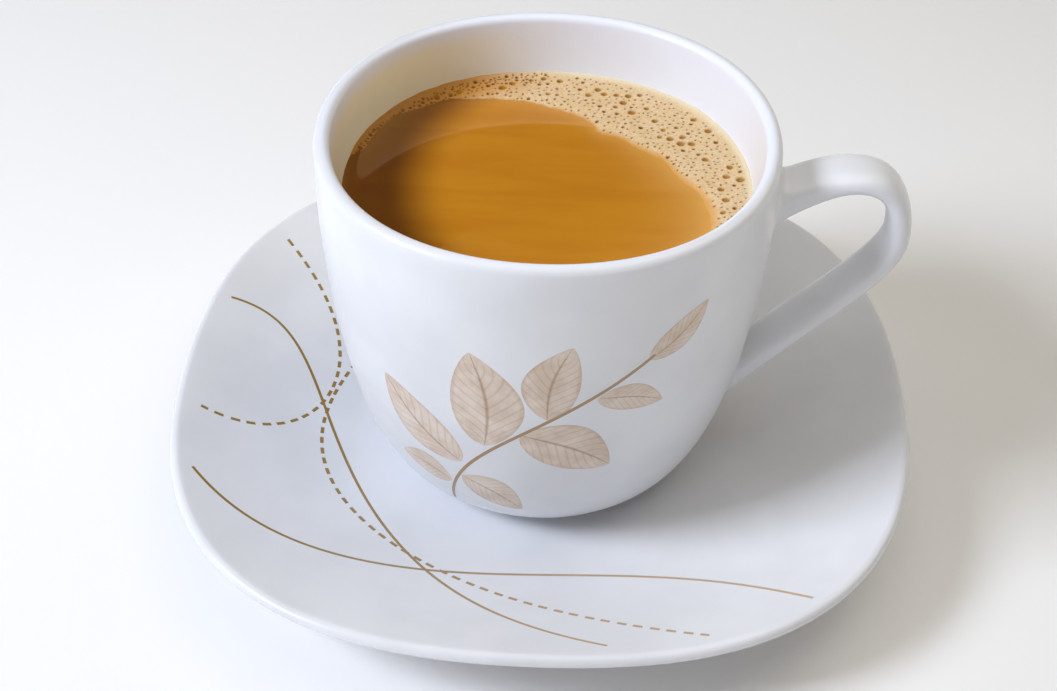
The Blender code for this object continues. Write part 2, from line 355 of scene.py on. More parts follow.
# Handle: a strap drawn by its two edges in the X-Z plane, mm from the cup's axis and above its foot
handle = {
    "outside": (((40.6, 63.8), (45.5, 66), (50.5, 68.8), (57.5, 68.8)),
                ((57.5, 68.8), (64.3, 68.8), (69, 64), (69, 54)),
                ((69, 54), (69, 43.5), (47.5, 28.5), (34, 8.4))),
    "inside": (((40.6, 55), (45, 57.5), (52, 64.3), (57.5, 64.3)),
               ((57.5, 64.3), (62, 64.3), (64.4, 61), (64.4, 54)),
               ((64.4, 54), (64.4, 47), (48, 33.5), (36, 20.5))),
    "stations": (16, 20, 32),           # points on each of the three curves
    "halfWidths": (5.5, 5.1, 5.9),      # at the root, the bend and the end
    "roundness": 0.8,
    "sides": 32,
    "rings": 64,
    "fillet": 3.2,                      # how far the strap flows out on the wall
    "filletSteps": 6,
    "tucked": 0.05,                     # how deep the fillet's edge lies in the wall
    "sunk": 0.3,                        # its hidden end: so far beyond, and twice as deep
}


def sideSpot(angle, height):
    # A point on the cup's outer side, in mm
    radius = readAlong(cupOuterSide(), height)
    reach = cup["cornerReach"] * smoothShare(height / cup["height"])
    return Vector((*squareOff(radius * math.cos(angle), radius * math.sin(angle), reach), height))


def wallNormal(angle, height):
    spot = sideSpot(angle, height)
    return (sideSpot(angle + 0.01, height) - spot).cross(sideSpot(angle, height + 0.3) - spot).normalized()


def toWall(point, lift=0):
    # Straight in or out to the cup's side, or to the given height off it
    angle = math.atan2(point.y, point.x)
    spot = sideSpot(angle, point.z)
    return spot + wallNormal(angle, point.z) * lift if lift else spot


def outsideWall(point):
    # How far a point stands off the wall, level with it
    wall = toWall(point)
    return math.hypot(point.x, point.y) - math.hypot(wall.x, wall.y)


def strapEdge(curves):
    points = []
    for corners, stations in zip(curves, handle["stations"]):
        points = points[:-1] + bezierPoints(corners, stations)
    return [Vector((x, z)) for x, z in points]


def strapLines():
    # The strap's long lines from root to end, one for each side of its section
    outside, inside = strapEdge(handle["outside"]), strapEdge(handle["inside"])
    root, bend, end = handle["halfWidths"]
    lines = [[] for side in range(handle["sides"])]
    for index, (outer, inner) in enumerate(zip(outside, inside)):
        share = 2 * index / (len(outside) - 1)
        if share < 1:
            halfWidth = root + (bend - root) * smoothShare(share)
        else:
            halfWidth = bend + (end - bend) * smoothShare(share - 1)
        for side, line in enumerate(lines):
            turn = 2 * math.pi * side / handle["sides"]
            across = math.copysign(abs(math.cos(turn)) ** handle["roundness"], math.cos(turn))
            out = math.copysign(abs(math.sin(turn)) ** handle["roundness"], math.sin(turn))
            spot = (outer + inner) / 2 + (outer - inner) / 2 * out
            line.append(Vector((spot.x, across * halfWidth, spot.y)))
    return lines


def meetWall(line):
    # Where a line that starts inside the cup's wall comes out of it, and its first point outside
    for index, (before, after) in enumerate(zip(line, line[1:]), 1):
        low, high = outsideWall(before), outsideWall(after)
        if low <= 0 < high:
            return before.lerp(after, -low / (high - low)), index
    return line[0], 1


def cutBack(line, distance):
    # The line without its first stretch
    for index, (before, after) in enumerate(zip(line, line[1:])):
        step = (after - before).length
        if distance < step:
            return [before.lerp(after, distance / step), *line[index + 1:]]
        distance -= step
    return line[-2:]


def filletRings(lines):
    # Trims each line where it meets the wall, and lets it flow out along the wall instead
    steps = handle["filletSteps"]
    met = []
    trimmed = []
    for line in lines:
        spot, index = meetWall(line)
        met.append(spot)
        trimmed.append(cutBack([spot, *line[index:]], handle["fillet"]))
    middle = sum(met, Vector()) / len(met)
    rings = [[] for step in range(steps + 2)]
    for side, (spot, line) in enumerate(zip(met, trimmed)):
        along = met[(side + 1) % len(met)] - met[side - 1]
        away = along.cross(wallNormal(math.atan2(spot.y, spot.x), spot.z)).normalized()
        if away.dot(spot - middle) < 0:
            away = -away
        landing = toWall(spot + away * handle["fillet"])
        rings[0].append(toWall(landing + away * handle["sunk"], -2 * handle["sunk"]))
        rings[1].append(toWall(landing, -handle["tucked"]))
        for step in range(1, steps + 1):
            share = step / (steps + 1)
            point = landing * (1 - share) ** 2 + spot * 2 * share * (1 - share) + line[0] * share ** 2
            rings[step + 1].append(point)
    return rings, trimmed


def loftRings(name, rings):
    # A ring is drawn out from section to section, and filled at both ends
    deselectAll()
    bpy.ops.mesh.primitive_circle_add(vertices=len(rings[0]), radius=handle["fillet"] * mm)
    piece = bpy.context.object
    bpy.ops.object.mode_set(mode="EDIT")
    mesh = bmesh.from_edit_mesh(piece.data)
    place = mesh.verts.layers.int.new("place")
    for index, vertex in enumerate(mesh.verts):
        vertex[place] = index
    bpy.ops.mesh.select_all(action="SELECT")
    for index, ring in enumerate(rings):
        if index:
            bpy.ops.mesh.extrude_region_move()
        mesh = bmesh.from_edit_mesh(piece.data)
        place = mesh.verts.layers.int["place"]
        for vertex in mesh.verts:
            if vertex.select:
                vertex.co = ring[vertex[place]] * mm
        bmesh.update_edit_mesh(piece.data)
    bpy.ops.mesh.select_all(action="SELECT")
    bpy.ops.mesh.fill_holes(sides=0)
    bpy.ops.mesh.select_all(action="SELECT")
    bpy.ops.mesh.normals_make_consistent(inside=False)
    bpy.ops.object.mode_set(mode="OBJECT")
    piece.data.attributes.remove(piece.data.attributes["place"])
    piece.name = name
    return piece


def makeHandle():
    topRings, lines = filletRings(strapLines())
    endRings, lines = filletRings([list(reversed(line)) for line in lines])
    lines = [spreadEven(list(reversed(line)), handle["rings"]) for line in lines]
    between = [[line[index] for line in lines] for index in range(handle["rings"])]
    rings = topRings + between + endRings[::-1]
    return loftRings("handle", [[point + Vector((0, 0, cupBase)) for point in ring] for ring in rings])


cupPiece = joinPieces("cupWare", [cupBody, makeHandle()])
finishPiece(cupPiece, cupGlaze, 50)
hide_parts("cup")
print("handle lofted into the wall")

# Saucer, sizes in mm and heights from the table
saucer = {
    "halfWidth": saucerHigh.x / mm,
    "height": saucerHigh.z / mm,
    "cornerReach": 0.075,
    "lipRadius": 1.2,
    "lipTurns": (120, -55),
    "footRadius": 42,
    "footFlare": 0.8,
    "footWidth": 4,
    "footHeight": 1.8,
    "wellRings": (12, 22),
    "wellRadius": 31,
    "wellTop": 3.9,
    "underside": 1,
    "undersideRing": 16,
    "facePull": ((47, 3.9), (62.3, 12.3)),
    "backPull": ((67.4, 11.7), (54.5, 3.8)),
}


def saucerReach(spot):
    flat = saucer["footRadius"]
    return saucer["cornerReach"] * smoothShare((spot.xy.length - flat) / (saucer["halfWidth"] - flat))


def saucerProfile():
    lip = (saucer["halfWidth"] - saucer["lipRadius"], saucer["height"] - saucer["lipRadius"])
    lipRadius = saucer["lipRadius"] * turning["lipSwell"]
    overLip = arcPoints(lip, lipRadius, *saucer["lipTurns"], turning["lipSteps"])
    face = bezierPoints(((saucer["wellRadius"], saucer["wellTop"]), *saucer["facePull"], overLip[0]), 14)
    footTop = (saucer["footRadius"] + saucer["footFlare"], saucer["footHeight"])
    back = bezierPoints((overLip[-1], *saucer["backPull"], footTop), 12)
    well = [(radius, saucer["wellTop"]) for radius in (turning["hub"], *saucer["wellRings"])]
    return [*well, *face[:-1], *overLip, *back[1:], *footRing(saucer, saucer["footRadius"])]


saucerPiece = turnShape("saucerWare", saucerProfile(), saucerReach)
finishPiece(saucerPiece, saucerGlaze, 50)
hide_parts("saucer")
print("saucer turned")

# Tea, sizes in mm and turns in degrees from the handle towards the back
tea = {
    "level": teaHigh.z / mm,
    "rings": (1, 5, 10, 15, 20, 24, 27, 29.5, 31.5, 33.2, 34.6, 35.6, 36.4, 37, 37.5, 37.9),
    "depths": (2, 14, 30, 44),
    "lowest": 9,          # of its rings along the wall, above the cup's foot
    "intoWall": 0.4,      # it overlaps the glaze, so that no gap shows
    "meniscus": 0.8,
    "meniscusReach": 1.1,
    "meniscusStart": 5,   # away from the wall
    "creamStrength": (0.25, 0.75),      # beside the froth, far from the handle and near it
    "creamReach": (1.5, 6.5),
    "paintedShadeTurn": 183,      # where the wall's painted shadow falls on the tea, how far in from the wall, and how softly
    "paintedShadeReach": 19.5,
    "paintedShadeFade": 12,
    "shoreTurn": 140,     # and a band of painted shade and dark reflection along the wall at the back, by so much to either side
    "shoreReach": 55,
    "shoreWidth": 9.5,
    "tan": "#BD7913",
    "paleTan": "#C3811A",
    "cream": "#E3AE62",
    # The colour the painted shade multiplies the tea by
    "paintedShadeTint": "#968250",
    "shine": "#FFE09C",
    "streakSize": 9,
    "rippleSize": 14,
}
teaWall = readAlong(cupInnerWall(), tea["level"] - cupBase)

# Froth, in the same measures
froth = {
    "width": 17.7,        # at its broadest
    "middle": 48,         # where it is broadest
    "spread": 67,
    "ripples": ((0.5, 7, 0.6), (0.35, 13, 0)),      # in its width: height, waves all round, start
    "wander": ((0.7, 6, 3), (0.35, 1.3, 7)),        # of its inner edge: height, size, noise layer
    "steadyUnder": 5,     # a band narrower than this wanders less
    "shoreWidth": 2.1,    # the band along the wall at the back left
    "shore": (92, 180),
    "shoreFades": (30, 18),
    "handleSide": (100, -40),   # from crisp and uncreamed to soft and creamy
    "cell": 0.17,
    "intoWall": 0.6,      # its mesh goes on into the wall and past its edge
    "beyondEdge": 0.7,
    "least": 0.2,         # no froth where it would be narrower
    "thickness": 0.62,
    "thinnest": 0.04,
    "lowest": 0.03,       # above the tea, also in a bubble's bowl
    "edgeSoftness": 3.2,
    "swell": 0.12,
    "swellSize": 2.8,
    "climb": 0.6,         # how far it rises at the wall
    "climbReach": 0.9,
    "dip": 0.5,           # its edge dives into the tea, all the way at dipReach
    "dipReach": 0.6,
    "draft": 1.6,         # how deep its flat underside lies
    "crispEdge": 0.7,     # how far in it is thin at the back, and how much more by the handle
    "softEdge": 1.9,
    "thinUnder": 7,       # a narrower band is partly see-through all over
    "tan": "#DDC394",
    "paleTan": "#E0C9A2",
    "grain": "#D3AF83",
    "dried": "#E9DCBB",
    # Painted shade at the back left, where the wall's shadow falls
    "paintedShade": "#C18A45",
    "hole": "#7A4406",
    "amber": "#A26E0A",
    "grainSize": 0.42,    # real ones are nearer 0.2, too fine to show
    "patchSize": 4,
}


def frothWidth(turn):
    ripple = 0
    for height, waves, start in froth["ripples"]:
        ripple += height * math.sin(math.radians(waves * turn) + start)
    off = (turn - froth["middle"]) / froth["spread"]
    (first, last), (rise, fall) = froth["shore"], froth["shoreFades"]
    shore = froth["shoreWidth"] * smoothShare((turn - first) / rise) * smoothShare((last - turn) / fall)
    return max((froth["width"] + ripple) * math.exp(-off * off), shore)


def turnOf(x, y):
    # Degrees from the handle towards the back, cut at the front, where there is no froth
    turn = math.degrees(math.atan2(y, x))
    return turn + 360 if turn < froth["middle"] - 180 else turn


def fromWall(x, y):
    reach = cup["cornerReach"] * smoothShare((tea["level"] - cupBase) / cup["height"])
    turn = math.atan2(y, x)
    wallX, wallY = squareOff(teaWall * math.cos(turn), teaWall * math.sin(turn), reach)
    return math.hypot(wallX, wallY) - math.hypot(x, y)


def intoFroth(x, y):
    # How far a point lies inside the froth's uneven inner edge
    wander = 0
    for height, size, layer in froth["wander"]:
        wander += noise.noise(Vector((x / size, y / size, layer))) * height
    width = frothWidth(turnOf(x, y))
    return width + wander * smoothShare(width / froth["steadyUnder"]) - fromWall(x, y)


def handleShare(turn):
    far, near = froth["handleSide"]
    return min(max((far - turn) / (far - near), 0), 1)


def creamAt(x, y):
    # Fine froth is stirred into the tea near the raft, most on the handle's side
    near = max(-intoFroth(x, y), 0)
    side = smoothShare(handleShare(turnOf(x, y)))
    strength, reach = (low + (high - low) * side for low, high in (tea["creamStrength"], tea["creamReach"]))
    return strength * math.exp(-(near / reach) ** 1.2)


def paintedShadeAt(x, y):
    # Painted shadow: the tea darker and browner on the side where the wall keeps the light off it, and a
    # band of painted shade and dark reflection along the wall at the back
    turn = math.radians(tea["paintedShadeTurn"])
    beyond = -fromWall(x + tea["paintedShadeReach"] * math.cos(turn), y + tea["paintedShadeReach"] * math.sin(turn))
    shore = fadeOut(turnOf(x, y) - tea["shoreTurn"], tea["shoreReach"], 1.6)
    shore *= fadeOut(fromWall(x, y), tea["shoreWidth"], 1.5)
    return max(smoothShare(beyond / tea["paintedShadeFade"]), shore)


def mixTea(tree, body):
    # The tea's cream and its painted shade, the same in the tea and at the froth's thin edge
    cream, paintedShade = (addNode(tree, "Attribute", {"attribute_name": part}).outputs["Fac"]
                   for part in ("cream", "paintedShade"))
    body = addNode(tree, "Mix", colorMix, i0=cream, i6=body, i7=tea["cream"])
    paintedShadeTea = addNode(tree, "Mix", multiplied, i0=1.0, i6=body, i7=tea["paintedShadeTint"])
    return addNode(tree, "Mix", colorMix, i0=paintedShade, i6=body, i7=paintedShadeTea)


# Milk tea: opaque with milk, a deep orange tan with a wet shine, slightly paler by the froth, with
# faint long streaks where the milk skin has drifted, and painted shade where the wall's shadow falls
def teaMaterial():
    material, tree, shader = newMaterial("milkyTea", IOR=1.5, Roughness=0.06, Specular_IOR_Level=1.0,
                                         Specular_Tint=tea["shine"])
    place = addNode(tree, "TexCoord").outputs["Object"]
    flow = addNode(tree, "Mapping", Vector=place, Scale=(0.35, 1.6, 1))
    streaks = addNode(tree, "TexNoise", Vector=flow, Scale=1 / (tea["streakSize"] * mm), Detail=4.0,
                      Distortion=0.4)
    share = addNode(tree, "MapRange", softStep, Value=streaks, From_Min=0.36, From_Max=0.64)
    body = addNode(tree, "Mix", colorMix, i0=share, i6=tea["tan"], i7=tea["paleTan"])
    ripple = addNode(tree, "TexNoise", Vector=place, Scale=1 / (tea["rippleSize"] * mm), Detail=1.0)
    bump = addNode(tree, "Bump", Height=ripple, Strength=0.2, Distance=0.05 * mm)
    plugIn(tree, shader, Base_Color=mixTea(tree, body), Normal=bump)
    return material


def teaProfile():
    level, edge, bottom = tea["level"], teaWall + tea["intoWall"], cupBase + cup["floor"] - tea["intoWall"]
    points = [(radius, level) for radius in tea["rings"] if radius <= teaWall - tea["meniscusStart"]]
    points += [(radius, level + tea["meniscus"] * math.exp((radius - teaWall) / tea["meniscusReach"]))
               for radius in (*tea["rings"][len(points):], edge)]
    for height in (*(level - depth for depth in tea["depths"]), cupBase + tea["lowest"]):
        points.append((readAlong(cupInnerWall(), height - cupBase) + tea["intoWall"], height))
    return points + [(cup["floorRadius"], bottom), (turning["hub"], bottom)]


teaPiece = turnShape("teaDrink", teaProfile(), cupReach)
# Masks for the tea's cream and its painted shade
for part, shareAt in (("cream", creamAt), ("paintedShade", paintedShadeAt)):
    setFloats(teaPiece, part, [shareAt(*(vertex.co.xy / mm)) for vertex in teaPiece.data.vertices])
finishPiece(teaPiece, teaMaterial(), 60)
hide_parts("tea")
print("tea poured")


# Froth of milk tea: a raft of fine bubbles, matt tan, its open bubbles showing dark tea or an amber
# film, drying to a cream coloured film at the wall, with painted shade at the back left
def frothMaterial():
    material, tree, shader = newMaterial("teaFroth", IOR=1.34, Specular_IOR_Level=0.12)
    place = addNode(tree, "TexCoord").outputs["Object"]
    marks = addNode(tree, "Attribute", {"attribute_name": "marks"})
    hole, amber, film = addNode(tree, "SeparateColor", Color=marks).outputs
    thin, paintedShade = (addNode(tree, "Attribute", {"attribute_name": part}).outputs["Fac"]
                  for part in ("thin", "paintedShade"))
    grain = addNode(tree, "TexVoronoi", Vector=place, Scale=1 / (froth["grainSize"] * mm), Randomness=0.9)
    patches = addNode(tree, "TexNoise", Vector=place, Scale=1 / (froth["patchSize"] * mm), Detail=2.0)
    share = addNode(tree, "MapRange", softStep, Value=patches, From_Min=0.35, From_Max=0.65)
    body = addNode(tree, "Mix", colorMix, i0=share, i6=froth["tan"], i7=froth["paleTan"])
    between = addNode(tree, "MapRange", softStep, Value=grain, From_Min=0.2, From_Max=0.9)
    # Grain and the dried film are its own colour; painted shade darkens it at the back left
    for here, tint in ((between, "grain"), (film, "dried"), (paintedShade, "paintedShade")):
        body = addNode(tree, "Mix", colorMix, i0=here, i6=body, i7=froth[tint])
    body = addNode(tree, "Mix", colorMix, i0=thin, i6=body, i7=mixTea(tree, tea["tan"]))
    dark = addNode(tree, "Mix", colorMix, i0=amber, i6=froth["hole"], i7=froth["amber"])
    body = addNode(tree, "Mix", colorMix, i0=hole, i6=body, i7=dark)
    wet = addNode(tree, "MapRange", Value=thin, To_Min=0.42, To_Max=0.12)
    bump = addNode(tree, "Bump", {"invert": True}, Height=grain, Strength=0.2, Distance=0.05 * mm)
    plugIn(tree, shader, Base_Color=body, Roughness=wet, Normal=bump)
    return material


# Bubbles, sizes in mm. Radii are the smallest, what the largest have more, and how rare these are
bubbles = {
    "seed": 29,
    "raft": 420,
    "raftRadii": (0.2, 0.62, 9),
    "raftTurns": 118,     # to either side of the froth's middle
    "raftTries": 60,
    "raftApart": 0.35,
    "raftEdge": 0.7,      # clear of the froth's edge
    "narrowShare": 2.2,   # the more, the more of them in the froth's narrow parts
    "shore": 1500,        # tries
    "shoreRadii": (0.2, 0.3, 1.6),
    "shoreApart": 0.09,
    "shoreEdge": 0.12,
    "shoreDepth": 3.4,
    "large": 0.4,         # these keep to the part of the froth by the wall
    "largePart": 0.7,
    "uneven": 1.7,        # how much the gaps between them vary
    "bowl": (0.25, 0.35, 0.7),  # depth, how much deeper for its radius, and its shape, flat under 1
    "rim": (0.03, 1.15, 0.22),  # height, and its place and width in radii
    "mark": (1.15, 0.35),       # where the dark of a hole ends, and how softly, in radii
    "shades": (0.86, 1.0),
    "amberFrom": 0.5,     # a larger one still has its film
    "amberTo": 1.2,
}


def scatterBubbles():
    # Larger ones first, clear of each other and of the froth's edges, then the close small ones along
    # the wall at the back left
    draw = random.Random(bubbles["seed"])
    placed = []

    def drawRadius(smallest, more, rarity):
        return smallest + more * draw.random() ** rarity

    def place(radius, turn, closest, edge, reach=1):
        width = frothWidth(turn) * (reach if radius < bubbles["large"] else bubbles["largePart"] * reach)
        depth = edge + radius + draw.random() * max(width - edge - 2 * radius, 0.1)
        distance = teaWall - depth
        x, y = distance * math.cos(math.radians(turn)), distance * math.sin(math.radians(turn))
        gap = closest * (1 + bubbles["uneven"] * draw.random())
        clear = intoFroth(x, y) > radius + edge and all(
            math.hypot(x - other[0], y - other[1]) > radius + other[2] + gap for other in placed)
        if clear:
            placed.append((x, y, radius, draw.random()))
        return clear

    raft = [drawRadius(*bubbles["raftRadii"]) for bubble in range(bubbles["raft"])]
    for radius in sorted(raft, reverse=True):
        for attempt in range(bubbles["raftTries"]):
            turn = froth["middle"] + draw.uniform(-bubbles["raftTurns"], bubbles["raftTurns"])
            wanted = draw.random() * froth["width"] < frothWidth(turn) + bubbles["narrowShare"]
            if wanted and place(radius, turn, bubbles["raftApart"], bubbles["raftEdge"]):
                break
    for bubble in range(bubbles["shore"]):
        turn = draw.uniform(*froth["shore"])
        radius = drawRadius(*bubbles["shoreRadii"])
        reach = min(bubbles["shoreDepth"] / frothWidth(turn), 1)
        place(radius, turn, bubbles["shoreApart"], bubbles["shoreEdge"], reach)
    return placed


def pressBubbles(x, y, height):
    # Each is a bowl with a raised rim. Returns where holes show, and which have an amber film
    hole, amber = np.zeros(len(x)), np.zeros(len(x))
    (depth, deeper, flatness), (rimHeight, rimPlace, rimWidth) = bubbles["bowl"], bubbles["rim"]
    (markEnd, markFade), (palest, darkest) = bubbles["mark"], bubbles["shades"]
    for bubbleX, bubbleY, radius, kind in scatterBubbles():
        close = np.flatnonzero((abs(x - bubbleX) < 2 * radius) & (abs(y - bubbleY) < 2 * radius))
        off = np.hypot(x[close] - bubbleX, y[close] - bubbleY) / radius
        height[close] -= (depth + deeper * radius) * np.clip(1 - off * off, 0, 1) ** flatness
        height[close] += rimHeight * np.exp(-((off - rimPlace) / rimWidth) ** 2)
        mark = np.clip((markEnd - off) / markFade, 0, 1)
        hole[close] = np.maximum(hole[close], mark * (palest + (darkest - palest) * kind))
        if radius > bubbles["amberFrom"]:
            amber[close] = np.where(off < bubbles["amberTo"], 1, amber[close])
    return hole, amber


def readSpots(piece):
    spots = np.empty(len(piece.data.vertices) * 3)
    piece.data.vertices.foreach_get("co", spots)
    return spots.reshape(-1, 3) / mm


def isFroth(x, y):
    # Neither deep in the wall nor out on the open tea
    return (frothWidth(turnOf(x, y)) > froth["least"] and fromWall(x, y) > -froth["intoWall"]
            and intoFroth(x, y) > -froth["beyondEdge"])


def cutFrothGrid():
    span = 2 * (teaWall + 3)
    cells = round(span / froth["cell"])
    deselectAll()
    bpy.ops.mesh.primitive_grid_add(x_subdivisions=cells, y_subdivisions=cells, size=span * mm,
                                    location=(0, 0, tea["level"] * mm))
    piece = bpy.context.object
    bpy.ops.object.transform_apply(location=True, rotation=True, scale=True)
    outside = [not isFroth(x, y) for x, y, z in readSpots(piece)]
    piece.data.vertices.foreach_set("select", outside)
    piece.data.edges.foreach_set("select", [False] * len(piece.data.edges))
    piece.data.polygons.foreach_set("select", [False] * len(piece.data.polygons))
    bpy.ops.object.mode_set(mode="EDIT")
    bpy.ops.mesh.delete(type="VERT")
    bpy.ops.object.mode_set(mode="OBJECT")
    return piece


def makeFroth():
    piece = cutFrothGrid()
    spots = readSpots(piece)
    x, y = spots[:, 0], spots[:, 1]
    inside = np.array([intoFroth(*spot[:2]) for spot in spots])
    wall = np.maximum([fromWall(*spot[:2]) for spot in spots], 0)
    size = froth["swellSize"]
    swell = np.array([noise.noise(Vector((a / size, b / size, 1))) for a, b, c in spots])
    share = np.clip(inside / froth["edgeSoftness"], 0, 1)
    height = froth["thinnest"] + froth["thickness"] * share * share * (3 - 2 * share)
    height += froth["swell"] * swell * share
    height -= froth["dip"] * np.clip(-inside / froth["dipReach"], 0, 1)
    height += froth["climb"] * np.exp(-wall / froth["climbReach"])
    hole, amber = pressBubbles(x, y, height)
    spots[:, 2] = tea["level"] + np.where(inside > 0, np.maximum(height, froth["lowest"]), height)
    piece.data.vertices.foreach_set("co", (spots * mm).ravel())

    # For its material: holes, films and the thin edge, then the cream and the painted shade
    film = 0.8 * np.exp(-(wall / froth["climbReach"]) ** 2)
    marks = np.stack([hole, amber, film, np.ones(len(x))], axis=1)
    piece.data.attributes.new("marks", "FLOAT_COLOR", "POINT").data.foreach_set("color", marks.ravel())
    turns = [turnOf(*spot[:2]) for spot in spots]
    widths = np.array([frothWidth(turn) for turn in turns])
    fade = froth["crispEdge"] + froth["softEdge"] * np.array([handleShare(turn) for turn in turns])
    thinBand = 0.6 * np.clip(1 - widths / froth["thinUnder"], 0, 1)
    setFloats(piece, "thin", np.maximum(np.clip(1 - inside / fade, 0, 1), thinBand))
    for part, shareAt in (("cream", creamAt), ("paintedShade", paintedShadeAt)):
        setFloats(piece, part, [shareAt(*spot[:2]) for spot in spots])

    # Its underside, flat and hidden in the tea
    bpy.ops.object.mode_set(mode="EDIT")
    bpy.ops.mesh.select_all(action="DESELECT")
    bpy.ops.mesh.select_non_manifold()
    bpy.ops.mesh.extrude_region_move(TRANSFORM_OT_translate={"value": (0, 0, -froth["draft"] * mm)})
    bpy.ops.transform.resize(value=(1, 1, 0), center_override=(0, 0, (tea["level"] - froth["draft"]) * mm))
    bpy.ops.mesh.edge_face_add()
    bpy.ops.mesh.select_all(action="SELECT")
    bpy.ops.mesh.normals_make_consistent(inside=False)
    bpy.ops.object.mode_set(mode="OBJECT")
    piece.name = "frothRaft"
    return piece


frothPiece = makeFroth()
finishPiece(frothPiece, frothMaterial(), 80)
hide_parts("froth")
print("froth laid,", len(frothPiece.data.polygons), "faces")

# What both prints share, in mm
decal = {"lift": 0.02, "thickness": 0.05}

# Print on the cup: a sprig of plain oval leaves, in mm round the wall from the middle of the front
# and above the foot. A leaf has a foot, a tip, a width and how far its midrib bows
leafPrint = {
    "leaves": (
        ((-15.5, 24), (-31, 41), 12, 1.6),
        ((-10, 31), (-12, 55), 14, -1.8),
        ((-3, 35.5), (15, 25.5), 12.5, 1.6),
        ((2, 40), (6, 58), 10.5, 1.4),
        ((-19, 16), (-32, 18), 8, -1.1),
        ((-16, 19), (-3, 10), 9.5, 1.2),
        ((11, 45), (24, 41), 6.6, 1.0),
        ((20, 52.5), (31, 62), 6.4, -0.8),
    ),
    "cells": (24, 10),    # along a leaf and across it
    "tip": 0.15,          # half its width at either end
    "stem": ((-21, 7), (-16, 31), (3, 39), (21, 53.5)),
    "stemWidth": 0.7,
    "wash": "#E8DBCF",
    "darkWash": "#D6C1AF",
    "rim": "#B0926F",
    "vein": "#A98560",
    "midrib": "#9A7448",
    "washSize": 5,
    "veins": 62.0,        # waves along a leaf, in radians
}


def printSpot(across, height):
    # From the flat design to the cup's side, around from the front
    angle = -math.pi / 2 + across / cup["halfWidth"]
    spot = sideSpot(angle, height) + wallNormal(angle, height) * decal["lift"]
    return (spot + Vector((0, 0, cupBase))) * mm


def fireOn(piece, target, layer=1, **wrapping):
    # Fired onto the glaze: follows it closely and stands hardly proud
    applyModifier(piece, "SHRINKWRAP", target=target, wrap_mode="ABOVE_SURFACE",
                  offset=decal["lift"] * layer * mm, **wrapping)
    applyModifier(piece, "SOLIDIFY", thickness=decal["thickness"] * mm, offset=-1)


def makeLeaf(foot, tip, width, bow):
    long, wide = leafPrint["cells"]
    deselectAll()
    bpy.ops.mesh.primitive_grid_add(x_subdivisions=long, y_subdivisions=wide, size=2)
    piece = bpy.context.object
    foot, tip = Vector(foot), Vector(tip)
    along = tip - foot
    across = Vector((-along.y, along.x)).normalized()
    for vertex in piece.data.vertices:
        share, side = (vertex.co.x + 1) / 2, vertex.co.y
        halfWidth = width / 2 * math.sin(math.pi * share ** 0.85) ** 0.75 if 0 < share < 1 else 0
        off = bow * math.sin(math.pi * share) + side * max(halfWidth, leafPrint["tip"])
        vertex.co = printSpot(*(foot + along * share + across * off))
    return piece


def makeRibbon(points, width, toSurface):
    # A line of the given width along a row of flat points, each put on its surface
    deselectAll()
    bpy.ops.mesh.primitive_grid_add(x_subdivisions=len(points) - 1, y_subdivisions=2, size=2)
    piece = bpy.context.object
    points = [Vector(point) for point in points]
    for vertex in piece.data.vertices:
        index = round((vertex.co.x + 1) / 2 * (len(points) - 1))
        before, after = points[max(index - 1, 0)], points[min(index + 1, len(points) - 1)]
        along = (after - before).normalized()
        spot = points[index] + Vector((-along.y, along.x)) * vertex.co.y * width / 2
        vertex.co = toSurface(spot.x, spot.y)
    return piece


# Leaf print: ceramic colour fired on, a thin tan wash with darker veins, as glossy as the glaze
def leafMaterial():
    material, tree, shader = newMaterial("firedTanLeafPrint", IOR=1.5, Roughness=0.22)
    texture = addNode(tree, "TexCoord")
    along, side = addNode(tree, "SeparateXYZ", Vector=texture.outputs["UV"]).outputs[:2]
    fromMiddle = addNode(tree, "Math", {"operation": "SUBTRACT"}, i0=side, i1=0.5)
    off = addNode(tree, "Math", {"operation": "ABSOLUTE"}, i0=fromMiddle)
    slant = addNode(tree, "Math", {"operation": "MULTIPLY_ADD"}, i0=off, i1=-0.5, i2=along)
    turns = addNode(tree, "Math", {"operation": "MULTIPLY"}, i0=slant, i1=leafPrint["veins"])
    wave = addNode(tree, "Math", {"operation": "SINE"}, i0=turns)
    wash = addNode(tree, "TexNoise", Vector=texture.outputs["Object"],
                   Scale=1 / (leafPrint["washSize"] * mm), Detail=5.0, Roughness=0.6)
    share = addNode(tree, "MapRange", softStep, Value=wash, From_Min=0.3, From_Max=0.7)
    body = addNode(tree, "Mix", colorMix, i0=share, i6=leafPrint["wash"], i7=leafPrint["darkWash"])
    for tint, value, low, high, strength in (("rim", off, 0.4, 0.5, 0.3), ("vein", wave, 0.55, 1.0, 0.24),
                                             ("midrib", off, 0.045, 0.0, 0.6)):
        line = addNode(tree, "MapRange", softStep, Value=value, From_Min=low, From_Max=high,
                       To_Max=strength)
        body = addNode(tree, "Mix", colorMix, i0=line, i6=body, i7=leafPrint[tint])
    plugIn(tree, shader, Base_Color=body)
    return material


# Line print: the same fired colour, a darker gold brown that pales towards the handle's side
def linePrintMaterial(name, dark, pale):
    material, tree, shader = newMaterial(name, IOR=1.5, Roughness=0.22)
    place = addNode(tree, "TexCoord").outputs["Object"]
    wash = addNode(tree, "TexNoise", Vector=place, Scale=1 / (3 * mm), Detail=3.0)
    toHandle = addNode(tree, "SeparateXYZ", Vector=place)
    fired = addNode(tree, "Math", {"operation": "MULTIPLY_ADD"}, i0=wash, i1=0.03, i2=toHandle)
    share = addNode(tree, "MapRange", softStep, Value=fired, From_Min=-0.05, From_Max=0.06)
    body = addNode(tree, "Mix", colorMix, i0=share, i6=dark, i7=pale)
    plugIn(tree, shader, Base_Color=body)
    return material


